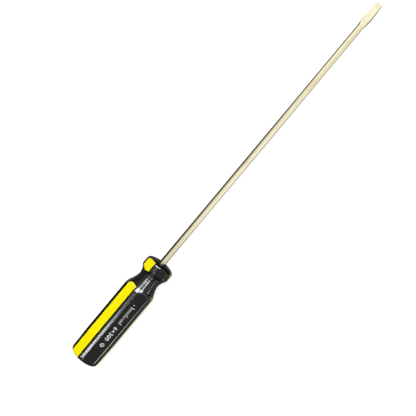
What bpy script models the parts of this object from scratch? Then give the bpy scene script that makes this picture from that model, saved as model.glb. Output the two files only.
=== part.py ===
"""Slotted screwdriver: a steel blade pressed into a turned handle of striped cellulose acetate.

Frame: metres, +Z up. The driver lies along X with its tip at the origin, the tip's flat end
facing +X and the handle towards -X. One yellow stripe faces +Z, so a black flat faces -Z.
Angles about the driver's axis are measured from +Z towards -Y.
"""

import math

import bpy
from mathutils import Vector

# Clearance left between pieces that touch.
GAP = 0.0003

# Blade: a round bar, forged wide and ground to a wedge at the tip. The two ground faces widen
# from a point on the bar to the full width of the shoulder, the faster the lower GRIND_SPREAD is.
BAR_RADIUS = 0.0030
BLADE_EXPOSED = 0.300
TIP_WIDTH = 0.0061
TIP_THICKNESS = 0.0010
SHOULDER_WIDTH = 0.0077
SHOULDER_TO_TIP = 0.0158
GRIND_LENGTH = 0.0280
GRIND_SPREAD = 0.7
BLADE_TWIST = math.radians(20)
BLADE_SIDES = 24

# Tang: the part of the bar inside the handle, with two wings pressed out to stop it turning.
TANG_LENGTH = 0.068
WING_CENTRE = 0.048
WING_LENGTH = 0.016
WING_HALF_WIDTH = 0.0046
WING_HALF_THICKNESS = 0.0020
WING_FULLNESS = 0.6

# Handle, measured back from its front face.
HANDLE_LENGTH = 0.1138
HANDLE_SIDES = 48
COLLAR_RADIUS = 0.0144
COLLAR_FLAT = 0.0134
FRONT_DOME = 0.0056
FRONT_FULLNESS = 0.87
DISH_RADIUS = 0.0062
DISH_DEPTH = 0.0014
NECK_RADIUS = 0.0105
NECK_AT = 0.0204
NECK_FRONT_LENGTH = 0.0097
NECK_FRONT_POWER = 2.0
NECK_REAR_LENGTH = 0.0130
NECK_REAR_POWER = 1.45
GRIP_RADIUS = 0.0154
GRIP_FLAT = 0.01415
BUTT_TAPER = 0.0006
BUTT_TAPER_LENGTH = 0.0260
BUTT_ROUND = 0.0056
BUTT_DOME = 0.0006

# Rings turned into the neck.
RING_PITCH = 0.0019
RING_DEPTH = 0.0004
FIRST_RING_AT = 0.0142
RING_COUNT = 8

# Yellow stripes, let into every second flat and cut through by the turned neck.
STRIPE_HALF_WIDTH = 0.0047
STRIPE_THICKNESS = 0.0010
STRIPE_ANGLES = [math.radians(a) for a in (0, 120, 240)]
STRIPE_SPLIT_AT = NECK_AT
# The stripes wander a little round the handle between the grip and the collar.
COLLAR_STRIPE_TURN = math.radians(-2.5)

HANDLE_FRONT_X = -BLADE_EXPOSED
TAPER_START = HANDLE_LENGTH - BUTT_TAPER_LENGTH


def clear_scene():
    for item in list(bpy.data.objects):
        bpy.data.objects.remove(item, do_unlink=True)


def material(name, colour, roughness, metallic=0.0):
    made = bpy.data.materials.new(name)
    made.use_nodes = True
    shader = made.node_tree.nodes["Principled BSDF"]
    shader.inputs["Base Color"].default_value = (*colour, 1.0)
    shader.inputs["Roughness"].default_value = roughness
    shader.inputs["Metallic"].default_value = metallic
    return made


def add_object(name, points, faces, finish=None):
    """An object from corner points and faces that are listed anticlockwise from outside."""
    mesh = bpy.data.meshes.new(name)
    mesh.from_pydata([tuple(p) for p in points], [], faces)
    mesh.validate()
    if finish is not None:
        mesh.materials.append(finish)
    made = bpy.data.objects.new(name, mesh)
    bpy.context.scene.collection.objects.link(made)
    return made


def as_cutter(made):
    made.hide_render = True
    made.display_type = "WIRE"
    return made


def shade_round(made, angle=math.radians(30)):
    made.data.shade_smooth()
    made.data.set_sharp_from_angle(angle=angle)


def boolean(made, operation, cutter):
    step = made.modifiers.new(cutter.name, "BOOLEAN")
    step.operation = operation
    step.solver = "EXACT"
    step.object = cutter


def around_axis(x, sideways, outward, angle):
    """The point at x that lies outward along the direction at angle, and sideways across it."""
    y = -outward * math.sin(angle) - sideways * math.cos(angle)
    z = outward * math.cos(angle) - sideways * math.sin(angle)
    return Vector((x, y, z))


def loft(name, rings, finish=None):
    """A closed body through rings of the same number of points, from the -X end to the +X end."""
    count = len(rings[0])
    points = [p for ring in rings for p in ring]
    faces = []
    for i in range(len(rings) - 1):
        start, nxt = i * count, (i + 1) * count
        for j in range(count):
            k = (j + 1) % count
            faces.append((start + j, start + k, nxt + k, nxt + j))
    last = (len(rings) - 1) * count
    faces.append(tuple(reversed(range(count))))
    faces.append(tuple(last + j for j in range(count)))
    return add_object(name, points, faces, finish)


def turned(name, outline, finish=None):
    """A body turned about the X axis. The outline runs from -X to +X and ends on the axis."""
    rings = []
    for x, radius in outline[1:-1]:
        turn = [2 * math.pi * j / HANDLE_SIDES for j in range(HANDLE_SIDES)]
        rings.append([around_axis(x, 0.0, radius, -a) for a in turn])
    points = [p for ring in rings for p in ring]
    rear_pole = len(points)
    points.append(Vector((outline[0][0], 0.0, 0.0)))
    points.append(Vector((outline[-1][0], 0.0, 0.0)))
    faces = []
    for i in range(len(rings) - 1):
        start, nxt = i * HANDLE_SIDES, (i + 1) * HANDLE_SIDES
        for j in range(HANDLE_SIDES):
            k = (j + 1) % HANDLE_SIDES
            faces.append((start + k, start + j, nxt + j, nxt + k))
    last = (len(rings) - 1) * HANDLE_SIDES
    for j in range(HANDLE_SIDES):
        k = (j + 1) % HANDLE_SIDES
        faces.append((rear_pole, j, k))
        faces.append((rear_pole + 1, last + k, last + j))
    return add_object(name, points, faces, finish)


# Handle


def neck_radius(back):
    """Radius of the neck, before its rings, at a distance back from the handle's front."""
    reach = NECK_AT - back
    if reach > 0:
        rise = COLLAR_RADIUS - NECK_RADIUS
        return NECK_RADIUS + rise * (reach / NECK_FRONT_LENGTH) ** NECK_FRONT_POWER
    rise = GRIP_RADIUS - NECK_RADIUS
    return NECK_RADIUS + rise * (-reach / NECK_REAR_LENGTH) ** NECK_REAR_POWER


def butt_taper(back):
    """How much narrower the grip is, all round, at a distance back from the handle's front."""
    return BUTT_TAPER * max(back - TAPER_START, 0.0) / BUTT_TAPER_LENGTH


def handle_outline():
    """(distance back from the front face, radius) from the front face to the butt."""
    outline = [(DISH_DEPTH, 0.0), (DISH_DEPTH, BAR_RADIUS)]
    front_steps = 8
    dish_edge = math.asin((DISH_RADIUS / COLLAR_RADIUS) ** (1 / FRONT_FULLNESS))
    for i in range(front_steps + 1):
        a = dish_edge + (math.pi / 2 - dish_edge) * i / front_steps
        radius = COLLAR_RADIUS * math.sin(a) ** FRONT_FULLNESS
        outline.append((FRONT_DOME * (1 - math.cos(a)), radius))
    shoulder_steps = 4
    collar_end = NECK_AT - NECK_FRONT_LENGTH
    for i in range(shoulder_steps):
        back = collar_end + (FIRST_RING_AT - collar_end) * i / shoulder_steps
        outline.append((back, neck_radius(back)))
    for i in range(2 * RING_COUNT + 1):
        back = FIRST_RING_AT + RING_PITCH * i / 2
        depth = RING_DEPTH if i % 2 else 0.0
        outline.append((back, neck_radius(back) - depth))
    outline.append((NECK_AT + NECK_REAR_LENGTH, GRIP_RADIUS))
    outline.append((TAPER_START, GRIP_RADIUS))
    butt_steps = 6
    arc_centre = HANDLE_LENGTH - BUTT_DOME - BUTT_ROUND
    dome_radius = GRIP_RADIUS - butt_taper(arc_centre) - BUTT_ROUND
    for i in range(butt_steps + 1):
        a = math.pi / 2 * i / butt_steps
        outline.append((arc_centre + BUTT_ROUND * math.sin(a), dome_radius + BUTT_ROUND * math.cos(a)))
    outline.append((HANDLE_LENGTH - BUTT_DOME / 4, dome_radius / 2))
    outline.append((HANDLE_LENGTH, 0.0))
    return outline


def turned_handle(name, finish=None):
    outline = [(HANDLE_FRONT_X - back, radius) for back, radius in reversed(handle_outline())]
    return turned(name, outline, finish)


def flats_cutter():
    """Six-sided bar with smaller flats at the collar; it changes size beside the narrow neck."""
    beyond = 0.005
    change = 0.004
    stations = [
        (HANDLE_LENGTH + beyond, GRIP_FLAT - butt_taper(HANDLE_LENGTH + beyond)),
        (TAPER_START, GRIP_FLAT),
        (NECK_AT + change, GRIP_FLAT),
        (NECK_AT - change, COLLAR_FLAT),
        (-beyond, COLLAR_FLAT),
    ]
    rings = []
    for back, flat in stations:
        corner = flat / math.cos(math.pi / 6)
        turn = [math.radians(30 + 60 * j) for j in range(6)]
        rings.append([around_axis(HANDLE_FRONT_X - back, 0.0, corner, -a) for a in reversed(turn)])
    return as_cutter(loft("flats_cutter", rings))


def stripe_bar(name, stations, half_width, under, over, angle, finish=None):
    """A bar along a flat at the given angle. Its stations are (distance back, the flat's distance
    from the axis), from the rear, and it reaches from under that flat to over it."""
    rings = []
    for back, flat in stations:
        section = [
            (-half_width, flat - under),
            (-half_width, flat + over),
            (half_width, flat + over),
            (half_width, flat - under),
        ]
        rings.append([around_axis(HANDLE_FRONT_X - back, s, o, angle) for s, o in section])
    return loft(name, rings, finish)


def stripe_stations(region):
    """Where the stripes of a region run, with the flat that they are flush with, from the rear."""
    beyond = 0.002
    if region == "collar":
        return [(STRIPE_SPLIT_AT - GAP, COLLAR_FLAT), (-beyond, COLLAR_FLAT)]
    backs = (HANDLE_LENGTH + beyond, TAPER_START, STRIPE_SPLIT_AT + GAP)
    return [(back, GRIP_FLAT - butt_taper(back)) for back in backs]


def make_stripe(region, number, angle, outline_cutter, flats, finish):
    name = f"{region}_stripe_{number}"
    above = 0.002
    stations = stripe_stations(region)
    stripe = stripe_bar(name, stations, STRIPE_HALF_WIDTH, STRIPE_THICKNESS, above, angle, finish)
    boolean(stripe, "INTERSECT", outline_cutter)
    boolean(stripe, "INTERSECT", flats)
    return stripe


def pocket_cutter(region, number, angle):
    name = f"{region}_pocket_{number}"
    above = 0.004
    stations = stripe_stations(region)
    half_width = STRIPE_HALF_WIDTH + GAP
    return as_cutter(stripe_bar(name, stations, half_width, STRIPE_THICKNESS + GAP, above, angle))


def make_handle(black, yellow):
    outline_cutter = as_cutter(turned_handle("outline_cutter"))
    core = turned_handle("handle_core", black)
    flats = flats_cutter()
    boolean(core, "INTERSECT", flats)
    for region, turn in (("grip", 0.0), ("collar", COLLAR_STRIPE_TURN)):
        for number, angle in enumerate(STRIPE_ANGLES, start=1):
            boolean(core, "DIFFERENCE", pocket_cutter(region, number, angle + turn))
            make_stripe(region, number, angle + turn, outline_cutter, flats, yellow)
    boolean(core, "DIFFERENCE", as_cutter(loft("tang_hole", tang_rings(GAP))))
    shade_round(core)
    return core


# Blade


def blade_section(x, half_width, half_height, flat_half_width, grow=0.0):
    """A section with flat faces of the given half width, joined by elliptical sides."""
    quarter = BLADE_SIDES // 4
    reach = half_width - flat_half_width + grow
    corners = []
    for turn in range(4):
        for step in range(quarter):
            a = math.pi / 2 * (step + 0.5) / quarter + math.pi / 2 * turn
            side = math.copysign(flat_half_width, math.cos(a))
            sideways = side + reach * math.cos(a)
            corners.append((sideways, (half_height + grow) * math.sin(a)))
    return [around_axis(x, -s, o, BLADE_TWIST) for s, o in corners]


def smooth_step(t):
    t = min(max(t, 0.0), 1.0)
    return t * t * (3 - 2 * t)


def wedge_half_thickness(x):
    """Half the distance between the two ground faces; the tip is at x = 0."""
    slope = (BAR_RADIUS - TIP_THICKNESS / 2) / GRIND_LENGTH
    return TIP_THICKNESS / 2 - slope * x


def tip_section(x):
    """Section of the ground tip, from where the faces start to the end."""
    from_shoulder = (-x - SHOULDER_TO_TIP) / (GRIND_LENGTH - SHOULDER_TO_TIP)
    if from_shoulder <= 0:
        taper = -x / SHOULDER_TO_TIP
        half_width = (TIP_WIDTH + (SHOULDER_WIDTH - TIP_WIDTH) * taper) / 2
        return half_width, wedge_half_thickness(x), half_width
    spread = (1 - from_shoulder) ** GRIND_SPREAD
    half_width = BAR_RADIUS + (SHOULDER_WIDTH / 2 - BAR_RADIUS) * smooth_step(1 - from_shoulder)
    return half_width, wedge_half_thickness(x), spread * SHOULDER_WIDTH / 2


def tang_rings(grow):
    """Rings of the bar inside the handle, from its inner end out past the handle's front."""
    rings = []
    inner_end = HANDLE_FRONT_X - TANG_LENGTH - grow
    rings.append(blade_section(inner_end, BAR_RADIUS, BAR_RADIUS, 0.0, grow))
    wing_steps = 8
    for i in range(wing_steps + 1):
        along = i / wing_steps
        press = math.sin(math.pi * along) ** WING_FULLNESS if 0 < i < wing_steps else 0.0
        x = HANDLE_FRONT_X - WING_CENTRE - WING_LENGTH / 2 + WING_LENGTH * along
        half_width = BAR_RADIUS + (WING_HALF_WIDTH - BAR_RADIUS) * press
        half_height = BAR_RADIUS + (WING_HALF_THICKNESS - BAR_RADIUS) * press
        rings.append(blade_section(x, half_width, half_height, 0.0, grow))
    beyond = 0.002
    rings.append(blade_section(HANDLE_FRONT_X + beyond, BAR_RADIUS, BAR_RADIUS, 0.0, grow))
    return rings


def make_blade(steel):
    rings = tang_rings(0.0)
    grind_steps = 10
    for i in range(grind_steps + 1):
        x = -GRIND_LENGTH + (GRIND_LENGTH - SHOULDER_TO_TIP) * i / grind_steps
        rings.append(blade_section(x, *tip_section(x)))
    rings.append(blade_section(0.0, *tip_section(0.0)))
    blade = loft("blade", rings, steel)
    shade_round(blade)
    return blade


def main():
    clear_scene()
    black = material("black_acetate", (0.012, 0.013, 0.012), 0.22)
    yellow = material("yellow_acetate", (0.90, 0.82, 0.02), 0.25)
    steel = material("plated_steel", (0.72, 0.69, 0.60), 0.30, 1.0)
    make_handle(black, yellow)
    make_blade(steel)


main()
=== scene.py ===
"""Looks of the slotted screwdriver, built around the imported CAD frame.

Metres, in the row frame: the driver lies along X, tip at the origin, handle towards -X. An angle
about the driver's axis is measured from +Z towards -Y, as the CAD measures it. "Back" is the
distance back from the plane where the blade enters the handle.
"""

import math

import bmesh
import bpy
from mathutils import Matrix, Vector


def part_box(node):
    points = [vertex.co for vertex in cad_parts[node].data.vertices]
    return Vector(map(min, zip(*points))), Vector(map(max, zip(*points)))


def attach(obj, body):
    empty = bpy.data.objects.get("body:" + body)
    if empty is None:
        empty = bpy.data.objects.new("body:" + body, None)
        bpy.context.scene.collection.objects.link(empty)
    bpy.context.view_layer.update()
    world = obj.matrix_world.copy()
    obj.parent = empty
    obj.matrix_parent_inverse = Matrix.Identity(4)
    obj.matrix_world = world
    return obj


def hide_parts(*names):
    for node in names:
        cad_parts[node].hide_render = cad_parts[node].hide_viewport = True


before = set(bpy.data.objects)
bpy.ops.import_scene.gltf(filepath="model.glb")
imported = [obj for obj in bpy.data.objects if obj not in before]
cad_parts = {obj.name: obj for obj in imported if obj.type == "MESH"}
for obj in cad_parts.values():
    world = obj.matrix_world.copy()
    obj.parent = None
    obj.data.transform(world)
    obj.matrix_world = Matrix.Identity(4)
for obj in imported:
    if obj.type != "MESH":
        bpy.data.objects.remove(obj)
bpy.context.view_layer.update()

MM = 0.001
BODY = "root"

# Driving sizes, read from the CAD nodes.
handle_low, handle_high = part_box("handle_core")
blade_low, blade_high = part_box("blade")
grip_low, grip_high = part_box("grip_stripe_1")
collar_low, collar_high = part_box("collar_stripe_1")

GRIP_RADIUS = handle_high.y
GRIP_FLAT = grip_high.z
COLLAR_FLAT = collar_high.z
STRIPE_HALF_WIDTH = grip_high.y
STRIPE_THICKNESS = 1.0 * MM

# Handle's turned outline.
COLLAR_RADIUS = 14.4 * MM
FRONT_DOME = 5.6 * MM
FRONT_FULLNESS = 0.87
DISH_RADIUS = 6.2 * MM
DISH_DEPTH = 1.4 * MM
NECK_RADIUS = 10.5 * MM
NECK_AT = 20.4 * MM
NECK_FRONT_LENGTH = 9.7 * MM
NECK_FRONT_POWER = 2.0
NECK_REAR_LENGTH = 13.0 * MM
NECK_REAR_POWER = 1.45
BUTT_TAPER = 0.6 * MM
BUTT_TAPER_LENGTH = 26.0 * MM
BUTT_ROUND = 5.6 * MM
BUTT_DOME = 0.6 * MM
EDGE_SOFTNESS = 0.28 * MM
SEAM = 0.03 * MM
FLAT_CHANGE_HALF_LENGTH = 4.0 * MM
SOCKET_TOP = DISH_DEPTH + 0.4 * MM
DISH_INNER_RADIUS = 3.25 * MM
DISH_POWER = 2.2

DISH_EDGE = math.asin((DISH_RADIUS / COLLAR_RADIUS) ** (1 / FRONT_FULLNESS))
FRONT_X = handle_high.x + FRONT_DOME * (1 - math.cos(DISH_EDGE))
HANDLE_LENGTH = FRONT_X - handle_low.x
TAPER_START = HANDLE_LENGTH - BUTT_TAPER_LENGTH

# Rings turned into the neck.
RING_PITCH = 1.9 * MM
RING_DEPTH = 0.40 * MM
FIRST_RING_AT = 14.2 * MM
RING_COUNT = 8

# Blade.
BAR_RADIUS = 3.0 * MM
TIP_HALF_WIDTH = 3.05 * MM
TIP_HALF_THICKNESS = 0.5 * MM
SHOULDER_HALF_WIDTH = 3.85 * MM
SHOULDER_TO_TIP = 15.8 * MM
GRIND_LENGTH = 28.0 * MM
BLADE_TWIST = math.radians(20)
WING_CENTRE = 48.0 * MM
WING_LENGTH = 16.0 * MM
WING_HALF_WIDTH = 4.6 * MM
WING_HALF_THICKNESS = 2.0 * MM
WING_POWER = 0.6
ROUND = 2.0
SHOULDER_SQUARENESS = 4.2

STRIPE_ANGLES = [math.radians(a) for a in (0, 120, 240)]
COLLAR_STRIPE_TURN = math.radians(-2.5)
MARKED_ANGLE = math.radians(60)


# Geometry helpers


def outward(angle):
    """The direction away from the driver's axis at an angle about it."""
    return Vector((0.0, -math.sin(angle), math.cos(angle)))


def sideways(angle):
    """The direction round the axis, towards larger angles."""
    return Vector((0.0, -math.cos(angle), -math.sin(angle)))


def new_object(name, mesh):
    made = bpy.data.objects.new(name, mesh)
    bpy.context.scene.collection.objects.link(made)
    return made


def mesh_object(name, points, faces):
    mesh = bpy.data.meshes.new(name)
    mesh.from_pydata([tuple(p) for p in points], [], faces)
    mesh.validate()
    return new_object(name, mesh)


def smooth_step(t):
    t = min(max(t, 0.0), 1.0)
    return t * t * (3 - 2 * t)


def soft_min(a, b, softness):
    """The smaller of a and b, rounded off where they cross."""
    h = min(max(0.5 + 0.5 * (b - a) / softness, 0.0), 1.0)
    return b + (a - b) * h - softness * h * (1 - h)


def tube_faces(ring_count, sides):
    faces = []
    for i in range(ring_count - 1):
        start, nxt = i * sides, (i + 1) * sides
        for j in range(sides):
            k = (j + 1) % sides
            faces.append((start + j, start + k, nxt + k, nxt + j))
    return faces


def face_out(made):
    mesh = made.data
    work = bmesh.new()
    work.from_mesh(mesh)
    bmesh.ops.recalc_face_normals(work, faces=work.faces)
    work.to_mesh(mesh)
    work.free()


def shade_round(made, angle=math.radians(35)):
    made.data.shade_smooth()
    made.data.set_sharp_from_angle(angle=angle)


def apply_modifiers(made):
    """Bakes an object's modifiers into its own mesh."""
    bpy.context.view_layer.update()
    graph = bpy.context.evaluated_depsgraph_get()
    mesh = bpy.data.meshes.new_from_object(made.evaluated_get(graph))
    made.modifiers.clear()
    made.data = mesh
    mesh.name = made.name


def boolean(made, operation, cutter):
    step = made.modifiers.new(cutter.name, "BOOLEAN")
    step.operation = operation
    step.solver = "EXACT"
    step.object = cutter
    apply_modifiers(made)


def remove(made):
    bpy.data.objects.remove(made, do_unlink=True)


# Handle


def neck_radius(back):
    reach = NECK_AT - back
    if reach > 0:
        rise = COLLAR_RADIUS - NECK_RADIUS
        return NECK_RADIUS + rise * (reach / NECK_FRONT_LENGTH) ** NECK_FRONT_POWER
    rise = GRIP_RADIUS - NECK_RADIUS
    return NECK_RADIUS + rise * (-reach / NECK_REAR_LENGTH) ** NECK_REAR_POWER


def ring_cut(back):
    """Depth of the ring grooves below the crests between them."""
    along = (back - FIRST_RING_AT) / RING_PITCH
    if not 0 <= along <= RING_COUNT:
        return 0.0
    return RING_DEPTH * (1 - math.cos(2 * math.pi * along)) / 2


def butt_taper(back):
    return BUTT_TAPER * max(back - TAPER_START, 0.0) / BUTT_TAPER_LENGTH


def flat_distance(back):
    """Distance of the handle's flats from its axis; it changes beside the neck."""
    t = (back - (NECK_AT - FLAT_CHANGE_HALF_LENGTH)) / (2 * FLAT_CHANGE_HALF_LENGTH)
    grip = GRIP_FLAT - butt_taper(back)
    return COLLAR_FLAT + (grip - COLLAR_FLAT) * min(max(t, 0.0), 1.0)


def socket_outline():
    """(back, radius) up the wall of the hole for the tang, from its end to the dish."""
    end = FRONT_X - blade_low.x + SEAM
    outline = [(end, 0.0), (end, BAR_RADIUS + SEAM)]
    steps = 12
    for i in range(steps + 1):
        along = 1 - i / steps
        press = math.sin(math.pi * along) if 0 < i < steps else 0.0
        back = WING_CENTRE + WING_LENGTH * (along - 0.5)
        outline.append((back, BAR_RADIUS + (WING_HALF_WIDTH - BAR_RADIUS) * press ** WING_POWER + SEAM))
    outline.append((SOCKET_TOP, BAR_RADIUS + SEAM))
    return outline


def front_outline():
    """The dish round the blade, its rim and the domed front, out to the collar."""
    outline = []
    dish_steps = 10
    rim_back = FRONT_DOME * (1 - math.cos(DISH_EDGE))
    for i in range(dish_steps):
        t = i / dish_steps
        radius = DISH_INNER_RADIUS + (DISH_RADIUS - DISH_INNER_RADIUS) * t
        outline.append((rim_back + (DISH_DEPTH - rim_back) * (1 - t ** DISH_POWER), radius))
    dome_steps = 26
    for i in range(dome_steps + 1):
        a = DISH_EDGE + (math.pi / 2 - DISH_EDGE) * i / dome_steps
        radius = COLLAR_RADIUS * math.sin(a) ** FRONT_FULLNESS
        outline.append((FRONT_DOME * (1 - math.cos(a)), radius))
    return outline


def waist_outline():
    """From the collar, along the ringed neck, to where the grip starts."""
    outline = []
    collar_end = NECK_AT - NECK_FRONT_LENGTH
    collar_steps = 5
    for i in range(1, collar_steps):
        outline.append((FRONT_DOME + (collar_end - FRONT_DOME) * i / collar_steps, COLLAR_RADIUS))
    grip_start = NECK_AT + NECK_REAR_LENGTH
    rings_end = FIRST_RING_AT + RING_PITCH * RING_COUNT
    plain_steps = 8
    for i in range(plain_steps):
        back = collar_end + (FIRST_RING_AT - collar_end) * i / plain_steps
        outline.append((back, neck_radius(back)))
    samples = 10
    for i in range(samples * RING_COUNT + 1):
        back = FIRST_RING_AT + RING_PITCH * i / samples
        outline.append((back, neck_radius(back) - ring_cut(back)))
    for i in range(1, plain_steps):
        back = rings_end + (grip_start - rings_end) * i / plain_steps
        outline.append((back, neck_radius(back)))
    return outline


def grip_outline():
    """The grip, its taper and the rounded butt, to the middle of its end."""
    outline = []
    grip_start = NECK_AT + NECK_REAR_LENGTH
    grip_steps = 30
    for i in range(grip_steps + 1):
        outline.append((grip_start + (TAPER_START - grip_start) * i / grip_steps, GRIP_RADIUS))
    arc_centre = HANDLE_LENGTH - BUTT_DOME - BUTT_ROUND
    taper_steps = 14
    for i in range(1, taper_steps):
        back = TAPER_START + (arc_centre - TAPER_START) * i / taper_steps
        outline.append((back, GRIP_RADIUS - butt_taper(back)))
    dome_radius = GRIP_RADIUS - butt_taper(arc_centre) - BUTT_ROUND
    butt_steps = 18
    for i in range(butt_steps + 1):
        a = math.pi / 2 * i / butt_steps
        outline.append((arc_centre + BUTT_ROUND * math.sin(a), dome_radius + BUTT_ROUND * math.cos(a)))
    dome_steps = 8
    for i in range(1, dome_steps):
        t = i / dome_steps
        outline.append((HANDLE_LENGTH - BUTT_DOME * (1 - t) ** 2, dome_radius * (1 - t)))
    outline.append((HANDLE_LENGTH, 0.0))
    return outline


def sector_angles():
    """Angles round the handle, close together at the edges of its flats."""
    half = [0, 4, 8, 12, 15.5, 18, 19.5, 20.5, 21.2, 21.9, 22.6, 23.3, 24, 24.8, 25.8, 27.5]
    local = [-30] + [-a for a in reversed(half[1:])] + half
    return [math.radians(60 * sector + a) for sector in range(6) for a in local]


def handle_body(name):
    """The whole handle as one turned and flatted body, open only at the hole for the tang."""
    outline = socket_outline() + front_outline() + waist_outline() + grip_outline()
    angles = sector_angles()
    sides = len(angles)
    points = []
    for back, radius in outline[1:-1]:
        flat = flat_distance(back)
        for angle in angles:
            local = (angle + math.pi / 6) % (math.pi / 3) - math.pi / 6
            reach = soft_min(radius, flat / math.cos(local), EDGE_SOFTNESS)
            points.append(Vector((FRONT_X - back, 0, 0)) + outward(angle) * reach)
    faces = tube_faces(len(outline) - 2, sides)
    for end, first in ((0, 0), (-1, (len(outline) - 3) * sides)):
        pole = len(points)
        points.append(Vector((FRONT_X - outline[end][0], 0, 0)))
        faces += [(pole, first + j, first + (j + 1) % sides) for j in range(sides)]
    made = mesh_object(name, points, faces)
    face_out(made)
    return made


def stripe_runs():
    """For each region, the stations of its stripes: (back, the flat's distance from the axis)."""
    beyond = 2.0 * MM
    backs = (HANDLE_LENGTH + beyond, TAPER_START, NECK_AT + SEAM)
    return {
        "grip": [(back, GRIP_FLAT - butt_taper(back)) for back in backs],
        "collar": [(NECK_AT - SEAM, COLLAR_FLAT), (-beyond, COLLAR_FLAT)],
    }


def stripe_bar(name, stations, angle, grow):
    """A bar along a flat, from the floor of its stripe to well above the flat."""
    above = 3.0 * MM
    half = STRIPE_HALF_WIDTH + grow
    points = []
    for back, flat in stations:
        floor = flat - STRIPE_THICKNESS - grow
        for s, o in ((-half, floor), (-half, flat + above), (half, flat + above), (half, floor)):
            points.append(Vector((FRONT_X - back, 0, 0)) + outward(angle) * o + sideways(angle) * s)
    count = len(stations)
    faces = tube_faces(count, 4)
    faces += [(3, 2, 1, 0), tuple(4 * (count - 1) + j for j in range(4))]
    made = mesh_object(name, points, faces)
    face_out(made)
    return made


def make_handle(black, yellow):
    whole = handle_body("whole_handle")
    core = new_object("handle_core_fine", whole.data.copy())
    pieces = [core]
    for region, stations in stripe_runs().items():
        turn = COLLAR_STRIPE_TURN if region == "collar" else 0.0
        for number, angle in enumerate([a + turn for a in STRIPE_ANGLES], start=1):
            pocket = stripe_bar(f"pocket_{region}_{number}", stations, angle, SEAM)
            boolean(core, "DIFFERENCE", pocket)
            remove(pocket)
            stripe = stripe_bar(f"{region}_stripe_{number}_fine", stations, angle, 0.0)
            boolean(stripe, "INTERSECT", whole)
            finish_piece(stripe, yellow, f"{region}_stripe_{number}")
            pieces.append(stripe)
    finish_piece(core, black, "handle_core")
    remove(whole)
    return pieces


def finish_piece(piece, look, node):
    """Shades a piece, gives it its material, and ties it to the frame."""
    shade_round(piece)
    piece.data.materials.clear()
    piece.data.materials.append(look)
    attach(piece, BODY)
    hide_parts(node)


# Blade


def blade_ring(x, half_width, half_height, squareness, sides):
    """A section of the blade: round at squareness ROUND, and boxier above it."""
    ring = []
    for j in range(sides):
        a = 2 * math.pi * (j + 0.5) / sides
        s = math.copysign(abs(math.cos(a)) ** (2 / squareness), math.cos(a)) * half_width
        o = math.copysign(abs(math.sin(a)) ** (2 / squareness), math.sin(a)) * half_height
        ring.append(Vector((x, 0, 0)) + outward(BLADE_TWIST) * o - sideways(BLADE_TWIST) * s)
    return ring


def tang_rings(sides):
    rings = [blade_ring(blade_low.x, BAR_RADIUS, BAR_RADIUS, ROUND, sides)]
    steps = 12
    for i in range(steps + 1):
        press = math.sin(math.pi * i / steps) ** WING_POWER if 0 < i < steps else 0.0
        x = FRONT_X - WING_CENTRE + WING_LENGTH * (i / steps - 0.5)
        half_width = BAR_RADIUS + (WING_HALF_WIDTH - BAR_RADIUS) * press
        half_height = BAR_RADIUS + (WING_HALF_THICKNESS - BAR_RADIUS) * press
        rings.append(blade_ring(x, half_width, half_height, ROUND, sides))
    return rings


def forged_rings(sides):
    """The tip as forged, before its faces are ground: wider and boxier towards the shoulder."""
    rings = []
    steps = 24
    for i in range(steps + 1):
        t = i / steps
        x = -GRIND_LENGTH + (GRIND_LENGTH - SHOULDER_TO_TIP) * t
        half_width = BAR_RADIUS + (SHOULDER_HALF_WIDTH - BAR_RADIUS) * smooth_step(t)
        squareness = ROUND + (SHOULDER_SQUARENESS - ROUND) * smooth_step(t)
        rings.append(blade_ring(x, half_width, BAR_RADIUS, squareness, sides))
    taper_steps = 10
    for i in range(1, taper_steps + 1):
        t = i / taper_steps
        half_width = SHOULDER_HALF_WIDTH + (TIP_HALF_WIDTH - SHOULDER_HALF_WIDTH) * t
        x = -SHOULDER_TO_TIP * (1 - t)
        rings.append(blade_ring(x, half_width, BAR_RADIUS, SHOULDER_SQUARENESS, sides))
    return rings


def grind_faces(made):
    """Cuts the two flat faces of the wedge, and marks them as the second material."""
    mesh = made.data
    slope = (BAR_RADIUS - TIP_HALF_THICKNESS) / GRIND_LENGTH
    work = bmesh.new()
    work.from_mesh(mesh)
    for side in (1, -1):
        normal = (outward(BLADE_TWIST) * side + Vector((slope, 0, 0))).normalized()
        point = outward(BLADE_TWIST) * side * TIP_HALF_THICKNESS
        geometry = work.verts[:] + work.edges[:] + work.faces[:]
        cut = bmesh.ops.bisect_plane(
            work, geom=geometry, plane_co=point, plane_no=normal, clear_outer=True, dist=1e-7
        )
        rim = [e for e in cut["geom_cut"] if isinstance(e, bmesh.types.BMEdge)]
        filled = bmesh.ops.contextual_create(work, geom=rim)
        for face in filled["faces"]:
            face.material_index = 1
    bmesh.ops.recalc_face_normals(work, faces=work.faces)
    work.to_mesh(mesh)
    work.free()


def make_blade(bar_steel, tip_steel):
    sides = 72
    rings = tang_rings(sides)
    bar_steps = 24
    bar_start = FRONT_X - 2 * MM
    for i in range(bar_steps):
        x = bar_start + (-GRIND_LENGTH - bar_start) * i / bar_steps
        rings.append(blade_ring(x, BAR_RADIUS, BAR_RADIUS, ROUND, sides))
    rings += forged_rings(sides)
    points = [p for ring in rings for p in ring]
    faces = tube_faces(len(rings), sides)
    last = (len(rings) - 1) * sides
    faces += [tuple(reversed(range(sides))), tuple(last + j for j in range(sides))]
    blade = mesh_object("blade_fine", points, faces)
    face_out(blade)
    grind_faces(blade)
    shade_round(blade, math.radians(28))
    blade.data.materials.append(bar_steel)
    blade.data.materials.append(tip_steel)
    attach(blade, BODY)
    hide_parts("blade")
    return blade


# Printed marks on one black flat: a slotted screw head, the driver's size, a scale and a dot

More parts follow.
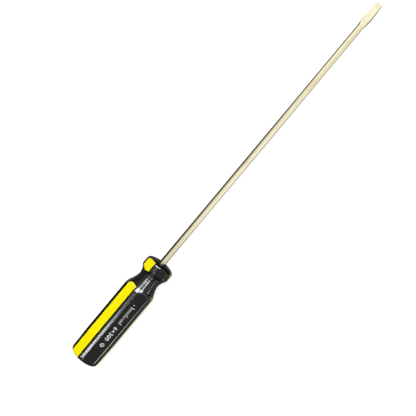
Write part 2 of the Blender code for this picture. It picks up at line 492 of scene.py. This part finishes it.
MARK_HEIGHT = 3.9 * MM
MARK_BASE = -1.85 * MM
MARK_STROKE = 0.5 * MM
INK_THICKNESS = 0.02 * MM
SCALE_FROM = 46.6 * MM
SCALE_LENGTH = 18.3 * MM
SCALE_TICKS = 10
LONG_TICK_EVERY = 5
NUMERALS_FROM = 69.1 * MM
SCREW_HEAD_AT = 89.3 * MM
DOT_AT = 43.9 * MM
# A numeral's height, as a part of the font's size.
NUMERAL_SHARE = 0.72


def mark_frame():
    """Placement of the marks: X towards the butt, Z out of the flat."""
    along, up, out = Vector((-1, 0, 0)), sideways(MARKED_ANGLE), outward(MARKED_ANGLE)
    place = Matrix((along, up, out)).transposed().to_4x4()
    place.translation = Vector((FRONT_X, 0, 0)) + out * GRIP_FLAT
    return place


def plate(work, corners, thickness):
    """A thin closed plate over an outline that runs anticlockwise."""
    low = [work.verts.new((x, y, -thickness)) for x, y in corners]
    high = [work.verts.new((x, y, thickness)) for x, y in corners]
    count = len(corners)
    work.faces.new(high)
    work.faces.new(list(reversed(low)))
    for i in range(count):
        k = (i + 1) % count
        work.faces.new((low[i], low[k], high[k], high[i]))


def ring_plate(work, x, y, outer, inner, thickness):
    """A thin closed ring round the point x, y."""
    sides = 40
    rows = []
    for radius, z in ((outer, -thickness), (outer, thickness), (inner, thickness), (inner, -thickness)):
        row = []
        for j in range(sides):
            a = 2 * math.pi * j / sides
            row.append(work.verts.new((x + radius * math.cos(a), y + radius * math.sin(a), z)))
        rows.append(row)
    for i in range(4):
        here, there = rows[i], rows[(i + 1) % 4]
        for j in range(sides):
            k = (j + 1) % sides
            work.faces.new((here[j], here[k], there[k], there[j]))


def bar_corners(x, y, length, height):
    return [(x, y), (x + length, y), (x + length, y + height), (x, y + height)]


def number_mesh(text, height, thickness):
    """Numerals as thin solid shapes, with their lower left corner at the origin."""
    curve = bpy.data.curves.new("numerals", "FONT")
    curve.body = text
    curve.size = height / NUMERAL_SHARE
    curve.extrude = thickness
    curve.offset = 0.012 * height
    curve.space_character = 1.08
    made = new_object("numerals", curve)
    bpy.context.view_layer.update()
    graph = bpy.context.evaluated_depsgraph_get()
    mesh = bpy.data.meshes.new_from_object(made.evaluated_get(graph))
    remove(made)
    return mesh


def make_marks(ink):
    work = bmesh.new()
    for i in range(SCALE_TICKS + 1):
        tall = MARK_HEIGHT if i % LONG_TICK_EVERY == 0 else 0.6 * MARK_HEIGHT
        x = SCALE_FROM + (SCALE_LENGTH - MARK_STROKE) * i / SCALE_TICKS
        plate(work, bar_corners(x, MARK_BASE, MARK_STROKE, tall), INK_THICKNESS)
    middle = MARK_BASE + MARK_HEIGHT / 2
    head_radius = MARK_HEIGHT / 2
    ring_plate(work, SCREW_HEAD_AT, middle, head_radius, head_radius - MARK_STROKE, INK_THICKNESS)
    slot_length = 0.6 * MARK_HEIGHT
    slot = bar_corners(SCREW_HEAD_AT - slot_length / 2, middle - MARK_STROKE / 2, slot_length, MARK_STROKE)
    plate(work, slot, INK_THICKNESS)
    ring_plate(work, DOT_AT, MARK_BASE + 0.3 * MARK_HEIGHT, 0.5 * MM, 0.2 * MM, INK_THICKNESS)
    numerals = number_mesh("6\u00d7300", MARK_HEIGHT, INK_THICKNESS)
    numerals.transform(Matrix.Translation((NUMERALS_FROM, MARK_BASE, 0)))
    work.from_mesh(numerals)
    mesh = bpy.data.meshes.new("size_marks")
    bmesh.ops.remove_doubles(work, verts=work.verts, dist=1e-6)
    work.to_mesh(mesh)
    work.free()
    marks = new_object("size_marks", mesh)
    mesh.transform(mark_frame())
    face_out(marks)
    mesh.materials.append(ink)
    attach(marks, BODY)


# Materials


class Look:
    """A material's nodes. Inputs may be numbers, colours or other nodes' outputs."""

    def __init__(self, name):
        self.material = bpy.data.materials.new(name)
        self.material.use_nodes = True
        self.tree = self.material.node_tree
        self.shader = self.tree.nodes["Principled BSDF"]
        coordinates = self.tree.nodes.new("ShaderNodeTexCoord")
        self.place = coordinates.outputs["Object"]

    def put(self, socket, value):
        if isinstance(value, bpy.types.NodeSocket):
            self.tree.links.new(value, socket)
        else:
            socket.default_value = value

    def add(self, kind, settings=None, **inputs):
        made = self.tree.nodes.new("ShaderNode" + kind)
        for key, value in (settings or {}).items():
            setattr(made, key, value)
        for key, value in inputs.items():
            self.put(made.inputs[key.replace("_", " ")], value)
        return made

    def math(self, operation, a, b=0.0):
        made = self.tree.nodes.new("ShaderNodeMath")
        made.operation = operation
        self.put(made.inputs[0], a)
        self.put(made.inputs[1], b)
        return made.outputs[0]

    def ramp(self, value, low, high):
        """0 below low, 1 above high, and smooth between; high may be the smaller one."""
        made = self.add("MapRange", {"interpolation_type": "SMOOTHSTEP"}, Value=value)
        made.inputs["From Min"].default_value = min(low, high)
        made.inputs["From Max"].default_value = max(low, high)
        made.inputs["To Min"].default_value = 0.0 if low < high else 1.0
        made.inputs["To Max"].default_value = 1.0 if low < high else 0.0
        return made.outputs[0]

    def span(self, value, low, high):
        """Spreads a 0 to 1 value over a range."""
        made = self.add("MapRange", None, Value=value)
        made.inputs["To Min"].default_value = low
        made.inputs["To Max"].default_value = high
        return made.outputs[0]

    def blend(self, a, b):
        """Two heights in one, the first a little stronger."""
        return self.math("ADD", self.math("MULTIPLY", a, 0.6), self.math("MULTIPLY", b, 0.4))

    def stretched(self, x, y, z):
        made = self.add("VectorMath", {"operation": "MULTIPLY"})
        self.put(made.inputs[0], self.place)
        made.inputs[1].default_value = (x, y, z)
        return made.outputs[0]

    def noise(self, scale, detail=3.0, roughness=0.55, vector=None):
        made = self.add("TexNoise", None, Scale=scale, Detail=detail, Roughness=roughness)
        self.put(made.inputs["Vector"], vector or self.place)
        return made.outputs["Fac"]

    def mix(self, factor, a, b):
        made = self.tree.nodes.new("ShaderNodeMix")
        made.data_type = "RGBA"
        self.put(made.inputs["Factor"], factor)
        colour_inputs = [i for i in made.inputs if i.type == "RGBA"]
        self.put(colour_inputs[0], a)
        self.put(colour_inputs[1], b)
        return [o for o in made.outputs if o.type == "RGBA"][0]

    def bump(self, height, distance, strength):
        """A normal roughened by a height from 0 to 1, over a distance in metres."""
        return self.add("Bump", None, Height=height, Distance=distance, Strength=strength).outputs[0]

    def set(self, **inputs):
        for key, value in inputs.items():
            self.put(self.shader.inputs[key.replace("_", " ")], value)

    def land_mask(self):
        """1 on the narrow turned lands between the handle's flats, 0 on the flats and the neck."""
        parts = self.add("SeparateXYZ", None, Vector=self.place)
        angle = self.math("ARCTAN2", self.math("MULTIPLY", parts.outputs["Y"], -1), parts.outputs["Z"])
        turn = self.math("FRACT", self.math("DIVIDE", angle, math.pi / 3))
        from_land = self.math("ABSOLUTE", self.math("SUBTRACT", turn, 0.5))
        squares = [self.math("MULTIPLY", parts.outputs[i], parts.outputs[i]) for i in "YZ"]
        radius = self.math("SQRT", self.math("ADD", *squares))
        on_turned = self.ramp(radius, COLLAR_RADIUS - 0.5 * MM, COLLAR_RADIUS - 0.1 * MM)
        return self.math("MULTIPLY", self.ramp(from_land, 0.135, 0.105), on_turned)


def grey(value):
    return (value, value, value, 1.0)


def black_acetate():
    look = Look("black_acetate_worn_with_land_sheen")
    streaks = look.noise(30, 4, 0.6, look.stretched(0.6, 9, 9))
    cloud = look.noise(90, 3)
    scratches = look.noise(120, 4, 0.7, look.stretched(0.12, 12, 12))
    specks = look.noise(700, 2)
    lands = look.land_mask()
    # The lands are lightened in scratchy streaks: partly real wear, partly a painted highlight along them.
    land_scuffs_and_sheen = look.math("MULTIPLY", lands, look.ramp(scratches, 0.46, 0.62))
    wear_and_land_sheen = look.math("MAXIMUM", land_scuffs_and_sheen, look.math("MULTIPLY", look.ramp(specks, 0.70, 0.78), 0.15))
    streaked = look.ramp(streaks, 0.35, 0.7)
    base = look.mix(streaked, (0.0025, 0.0032, 0.0025, 1), (0.006, 0.007, 0.0055, 1))
    # Lighter grey on the worn specks and on the lands; on the lands it is partly a painted highlight.
    colour = look.mix(wear_and_land_sheen, base, (0.045, 0.045, 0.042, 1))
    rough = look.math("ADD", look.span(cloud, 0.10, 0.17), look.math("MULTIPLY", wear_and_land_sheen, 0.12))
    height = look.blend(scratches, specks)
    look.set(Base_Color=colour, Roughness=rough, IOR=1.47)
    look.set(Normal=look.bump(height, 0.00002, 0.35))
    return look.material


def yellow_acetate():
    look = Look("yellow_acetate_worn")
    cloud = look.noise(45, 4, 0.6, look.stretched(0.5, 3, 3))
    scratches = look.noise(140, 4, 0.7, look.stretched(0.15, 10, 10))
    specks = look.noise(850, 2)
    base = look.mix(look.ramp(cloud, 0.3, 0.7), (0.82, 0.72, 0.0003, 1), (0.86, 0.76, 0.0004, 1))
    dirt = look.math("MULTIPLY", look.ramp(specks, 0.68, 0.76), 0.35)
    colour = look.mix(dirt, base, (0.45, 0.38, 0.02, 1))
    height = look.blend(scratches, specks)
    look.set(Base_Color=colour, Roughness=look.span(cloud, 0.18, 0.30), IOR=1.45)
    look.set(Normal=look.bump(height, 0.00002, 0.3))
    return look.material


def plated_bar():
    look = Look("plated_bar")
    draw_lines = look.noise(60, 3, 0.6, look.stretched(0.25, 14, 14))
    turning = look.noise(60, 2, 0.5, look.stretched(30, 1, 1))
    patches = look.noise(26, 4, 0.6)
    tarnish = look.ramp(patches, 0.45, 0.75)
    colour = look.mix(tarnish, (0.79, 0.72, 0.50, 1), (0.71, 0.635, 0.41, 1))
    rough = look.math("ADD", look.span(patches, 0.15, 0.22), look.math("MULTIPLY", draw_lines, 0.05))
    height = look.blend(draw_lines, turning)
    # The dark specular tint paints shade into the bar's grazing edges.
    look.set(Base_Color=colour, Metallic=1.0, Roughness=rough, Specular_Tint=(0.35, 0.34, 0.31, 1))
    look.set(Normal=look.bump(height, 0.00001, 0.4))
    return look.material


def ground_tip():
    look = Look("ground_tip")
    mottle = look.noise(330, 4, 0.62)
    blotch = look.noise(120, 3, 0.5)
    grind = look.noise(200, 3, 0.6, look.stretched(12, 1, 1))
    pale = look.mix(look.ramp(mottle, 0.38, 0.64), (0.80, 0.76, 0.56, 1), (0.92, 0.88, 0.66, 1))
    stained = look.math("MULTIPLY", look.ramp(blotch, 0.5, 0.75), 0.35)
    colour = look.mix(stained, pale, (0.70, 0.67, 0.48, 1))
    height = look.blend(grind, mottle)
    look.set(Base_Color=colour, Metallic=1.0, Roughness=look.span(mottle, 0.42, 0.6))
    look.set(Normal=look.bump(height, 0.00002, 0.5))
    return look.material


def white_ink():
    look = Look("white_ink")
    chips = look.noise(900, 3)
    colour = look.mix(look.ramp(chips, 0.66, 0.74), grey(0.95), (0.35, 0.35, 0.33, 1))
    look.set(Base_Color=colour, Roughness=look.span(chips, 0.35, 0.6))
    look.set(Normal=look.bump(chips, 0.00001, 0.4))
    return look.material


def pale_floor():
    look = Look("pale_floor")
    cloud = look.noise(9, 3)
    look.set(Base_Color=look.mix(cloud, grey(0.15), grey(0.19)), Roughness=0.75)
    look.set(Emission_Color=grey(1.0), Emission_Strength=0.92)
    return look.material


# Stage


def rest_plane(pieces):
    """Slope and height under the tip of the table top that the driver settles on, tip forward."""
    points = [v.co for piece in pieces for v in piece.data.vertices]
    balance_x = FRONT_X + 20 * MM
    best = None
    steps = 80
    for i in range(steps + 1):
        slope = 0.08 * i / steps
        under = min(p.z - slope * p.x for p in points)
        drop = -(under + slope * balance_x) / math.sqrt(1 + slope * slope)
        if best is None or drop < best[0]:
            best = (drop, slope, under)
    return best[1], best[2]


def make_floor(pieces):
    """A pale table top that turns up into a pale wall all round, far from the driver."""
    slope, height = rest_plane(pieces)
    flat_reach = 4.0
    wall_rise = 8.0
    sides = 64
    rise_steps = 12
    profile = [(0.01, 0.0)]
    for i in range(rise_steps + 1):
        a = math.radians(90) * i / rise_steps
        profile.append((flat_reach + wall_rise * math.sin(a), wall_rise * (1 - math.cos(a))))
    points = []
    for radius, lift in profile:
        for j in range(sides):
            a = 2 * math.pi * j / sides
            x, y = radius * math.cos(a), radius * math.sin(a)
            points.append(Vector((x, y, height + slope * x + lift)))
    faces = [tuple(range(sides))] + tube_faces(len(profile), sides)
    floor = mesh_object("floor", points, faces)
    shade_round(floor, math.radians(60))
    floor.data.materials.append(pale_floor())
    floor.visible_glossy = False
    floor.visible_diffuse = False
    floor.visible_shadow = False


def softbox(name, angle, along, distance, length, width, power):
    """A soft light at an angle in degrees, facing the driver's axis, with its length along it."""
    light = bpy.data.lights.new(name, "AREA")
    light.shape = "RECTANGLE"
    light.size = length
    light.size_y = width
    light.energy = power
    made = bpy.data.objects.new(name, light)
    bpy.context.scene.collection.objects.link(made)
    out, across = outward(math.radians(angle)), sideways(math.radians(angle))
    place = Matrix((Vector((1, 0, 0)), -across, out)).transposed().to_4x4()
    place.translation = Vector((along, 0, 0)) + out * distance
    made.matrix_world = place
    made.visible_camera = False
    return made


def make_lights(handle):
    """Soft light from above, and strips that only draw the highlights on the handle's pieces."""
    lit_by_strips = bpy.data.collections.new("lit_by_strips")
    for piece in handle:
        lit_by_strips.objects.link(piece)
    for name, angle, power in (("key", 12, 22.0), ("far_fill", -95, 5.0), ("under_fill", 150, 7.0)):
        light = softbox(name, angle, -0.2, 1.2, 1.2, 0.9, power)
        light.visible_glossy = False
    strip_distance = 1.0
    for name, angle, along, length, width, power in (
        ("rear_upper", 25.5, -0.81, 0.38, 0.10, 4.6),
        ("rear_lower", 54, -0.81, 0.38, 0.17, 8.0),
        ("edge_strip", 111, -0.70, 0.26, 0.26, 4.3),
        ("far_rear_upper", 17, -1.50, 1.0, 0.22, 6.0),
        ("far_rear_lower", 60, -1.50, 1.0, 0.20, 5.0),
        ("front_upper", 19, 1.15, 1.3, 0.30, 42.0),
        ("front_lower", 58, 1.15, 1.3, 0.28, 42.0),
        ("slope_light", 38, 0.80, 0.60, 0.90, 32.0),
    ):
        strip = softbox(name, angle, along, strip_distance, length, width, power)
        strip.visible_diffuse = False
        strip.light_linking.receiver_collection = lit_by_strips


# Brightness of the room, as (angle about the driver's axis in degrees, brightness). There is one
# list for each direction along the axis, from behind the handle to ahead of the tip. The first
# pair says between which X parts of the direction it takes over from the list before.
ROOM = [
    (None, [
        (-180, 0.25), (-60, 0.05), (-15, 0.08), (0, 0.5), (15, 0.9), (30, 1.1), (45, 1.1), (60, 0.6),
        (80, 0.12), (120, 0.10), (180, 0.25),
    ]),
    ((-0.55, -0.38), [
        (-180, 0.10), (-60, 0.04), (-15, 0.06), (0, 0.40), (15, 0.85), (30, 1.1), (45, 1.1),
        (60, 0.75), (77, 0.33), (88, 0.48), (97, 0.8), (105, 1.3), (115, 1.3), (125, 0.6),
        (137, 0.22), (155, 0.06), (180, 0.06),
    ]),
    ((-0.155, -0.04), [
        (-180, 0.10), (-150, 0.05), (-125, 0.12), (-105, 0.60), (-75, 0.12), (-40, 0.02), (-20, 0.30),
        (-5, 0.90), (25, 1.05), (50, 1.1), (75, 1.3), (100, 1.4), (125, 1.1), (150, 0.7), (180, 0.1),
    ]),
    ((0.08, 0.28), [
        (-180, 0.3), (-140, 0.3), (-105, 0.42), (-80, 0.24), (-55, 0.28), (-32, 0.85), (-16, 1.9),
        (-4, 1.75), (10, 1.2), (40, 1.03), (60, 1.0), (95, 0.95), (140, 0.85), (180, 0.6),
    ]),
    ((0.38, 0.50), [
        (-180, 0.06), (-90, 0.20), (-60, 0.35), (-35, 0.35), (-10, 1.6), (40, 1.6), (60, 0.7),
        (82, 1.1), (110, 0.9), (128, 0.10), (180, 0.05),
    ]),
    ((0.86, 0.94), [(-180, 0.05), (20, 0.05), (60, 0.15), (120, 0.10), (180, 0.05)]),
]


def make_world():
    """The room that ROOM describes. It only shows in reflections: the lamps light the rest."""
    world = bpy.data.worlds.new("studio")
    world.use_nodes = True
    bpy.context.scene.world = world
    tree = world.node_tree
    nodes, links = tree.nodes, tree.links
    parts = nodes.new("ShaderNodeSeparateXYZ")
    links.new(nodes.new("ShaderNodeTexCoord").outputs["Generated"], parts.inputs[0])
    across = nodes.new("ShaderNodeMath")
    across.operation = "MULTIPLY"
    links.new(parts.outputs["Y"], across.inputs[0])
    across.inputs[1].default_value = -1
    angle = nodes.new("ShaderNodeMath")
    angle.operation = "ARCTAN2"
    links.new(across.outputs[0], angle.inputs[0])
    links.new(parts.outputs["Z"], angle.inputs[1])
    place = nodes.new("ShaderNodeMapRange")
    links.new(angle.outputs[0], place.inputs["Value"])
    place.inputs["From Min"].default_value = -math.pi
    place.inputs["From Max"].default_value = math.pi
    brightest = 2.0

    def room(stops):
        made = nodes.new("ShaderNodeValToRGB")
        made.color_ramp.interpolation = "EASE"
        elements = made.color_ramp.elements
        elements[1].position = 1.0
        for degrees, brightness in stops[1:-1]:
            elements.new((degrees + 180) / 360)
        for element, (degrees, brightness) in zip(elements, stops):
            element.color = grey(brightness / brightest)
        links.new(place.outputs[0], made.inputs[0])
        return made.outputs["Color"]

    def blended(a, b, start, end):
        along = nodes.new("ShaderNodeMapRange")
        along.interpolation_type = "SMOOTHSTEP"
        along.inputs["From Min"].default_value = start
        along.inputs["From Max"].default_value = end
        links.new(parts.outputs["X"], along.inputs["Value"])
        made = nodes.new("ShaderNodeMix")
        made.data_type = "RGBA"
        links.new(along.outputs[0], made.inputs["Factor"])
        colours = [i for i in made.inputs if i.type == "RGBA"]
        links.new(a, colours[0])
        links.new(b, colours[1])
        return [o for o in made.outputs if o.type == "RGBA"][0]

    colour = room(ROOM[0][1])
    for change, stops in ROOM[1:]:
        colour = blended(colour, room(stops), *change)
    links.new(colour, nodes["Background"].inputs["Color"])
    nodes["Background"].inputs["Strength"].default_value = brightest
    world.cycles_visibility.diffuse = False


def make_camera():
    """Looks down on the driver from beside it, with the handle at the lower left."""
    view_angle = math.radians(37)
    lean = math.radians(2)
    turn = math.radians(50.06)
    distance = 0.6
    frame_width = 0.3732
    aim = Vector((-0.23636, 0, 0)) - sideways(view_angle) * 0.00043
    back = outward(view_angle) * math.cos(lean) + Vector((1, 0, 0)) * math.sin(lean)
    along = Vector((1, 0, 0)) - back * back.x
    along.normalize()
    across = back.cross(along)
    right = along * math.cos(turn) - across * math.sin(turn)
    up = along * math.sin(turn) + across * math.cos(turn)
    place = Matrix((right, up, back)).transposed().to_4x4()
    place.translation = aim + back * distance
    lens = bpy.data.cameras.new("camera")
    lens.sensor_fit = "HORIZONTAL"
    lens.angle = 2 * math.atan(frame_width / 2 / distance)
    lens.clip_end = 50
    camera = bpy.data.objects.new("camera", lens)
    bpy.context.scene.collection.objects.link(camera)
    camera.matrix_world = place
    bpy.context.scene.camera = camera


make_camera()
handle = make_handle(black_acetate(), yellow_acetate())
blade = make_blade(plated_bar(), ground_tip())
make_marks(white_ink())
make_floor(handle + [blade])
make_lights(handle)
make_world()
bpy.context.scene.view_settings.view_transform = "Standard"
